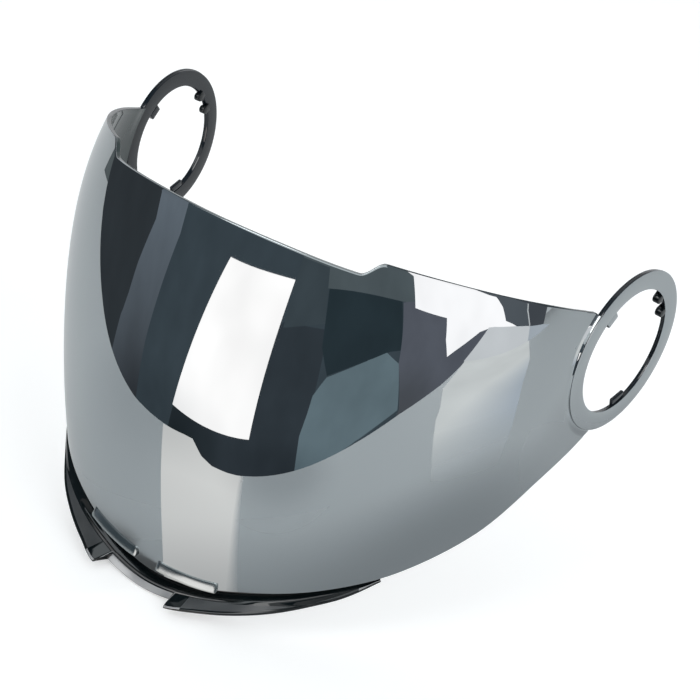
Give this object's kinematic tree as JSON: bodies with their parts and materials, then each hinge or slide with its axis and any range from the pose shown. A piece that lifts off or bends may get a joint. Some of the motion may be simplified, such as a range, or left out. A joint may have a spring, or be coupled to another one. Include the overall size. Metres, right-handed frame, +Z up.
{
  "type": "motorcycle helmet visor",
  "caption": "Mirrored full-face helmet visor: a double-curved lens between two flat pivot rings with detent teeth, and a dark chin lip with finger lugs.",
  "frame": {"origin": "middle of the pivot axis, halfway between the centres of the outer faces of the two side rings", "axes": "+Z up as worn, the visor looks along -Y, +X towards the wearer's left along the pivot axis"},
  "size_m": [0.2474, 0.1748, 0.1587],
  "materials": {
    "mirror_coat": "silver mirror coating on smoke-tinted polycarbonate, polished",
    "smoke_polycarbonate": "dark smoke-tinted polycarbonate, glossy",
    "black_gloss": "black moulded plastic, glossy"
  },
  "bodies": {
    "root": {"mirror_lens": "mirror_coat", "side_ring_left": "mirror_coat", "side_ring_right": "mirror_coat", "ring_step_left": "mirror_coat", "ring_step_right": "mirror_coat", "locating_tab_left": "mirror_coat", "locating_tab_right": "mirror_coat", "upper_tooth_left": "black_gloss", "upper_tooth_right": "black_gloss", "lower_tooth_left": "black_gloss", "lower_tooth_right": "black_gloss", "stop_lug_left": "smoke_polycarbonate", "stop_lug_right": "smoke_polycarbonate", "lip_pad_left": "smoke_polycarbonate", "lip_pad_right": "smoke_polycarbonate", "chin_lip": "smoke_polycarbonate"}
  },
  "joints": []
}
